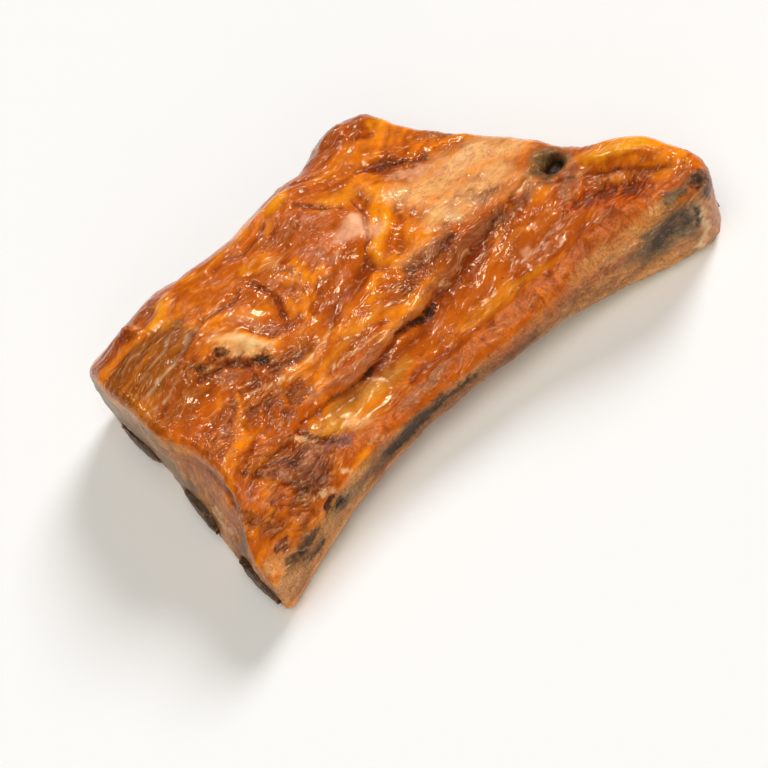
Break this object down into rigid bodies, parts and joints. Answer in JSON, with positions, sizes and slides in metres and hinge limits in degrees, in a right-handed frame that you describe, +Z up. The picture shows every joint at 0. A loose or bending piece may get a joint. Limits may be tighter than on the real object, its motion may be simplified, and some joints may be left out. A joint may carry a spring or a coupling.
{
  "type": "rack of ribs",
  "caption": "Slab of smoked pork ribs cut square at one end and slanting at the other: glazed meat on top, sawn rib bone ends showing, lying on its bone side.",
  "frame": {"origin": "on the table, under the middle of the rack", "axes": "+Z up, from the bone side to the meat side. +X along the bones, from the square-cut front end to the slanting back end. +Y across them, from the thin near side to the thick far side."},
  "size_m": [0.1844, 0.1175, 0.0393],
  "materials": {
    "meat": "glossy smoked and glazed meat, orange-brown",
    "bone": "sawn bone, darkened by smoke"
  },
  "bodies": {
    "root": {"meat": "meat", "rib_bone_1": "bone", "rib_bone_2": "bone", "rib_bone_3": "bone"}
  },
  "joints": []
}
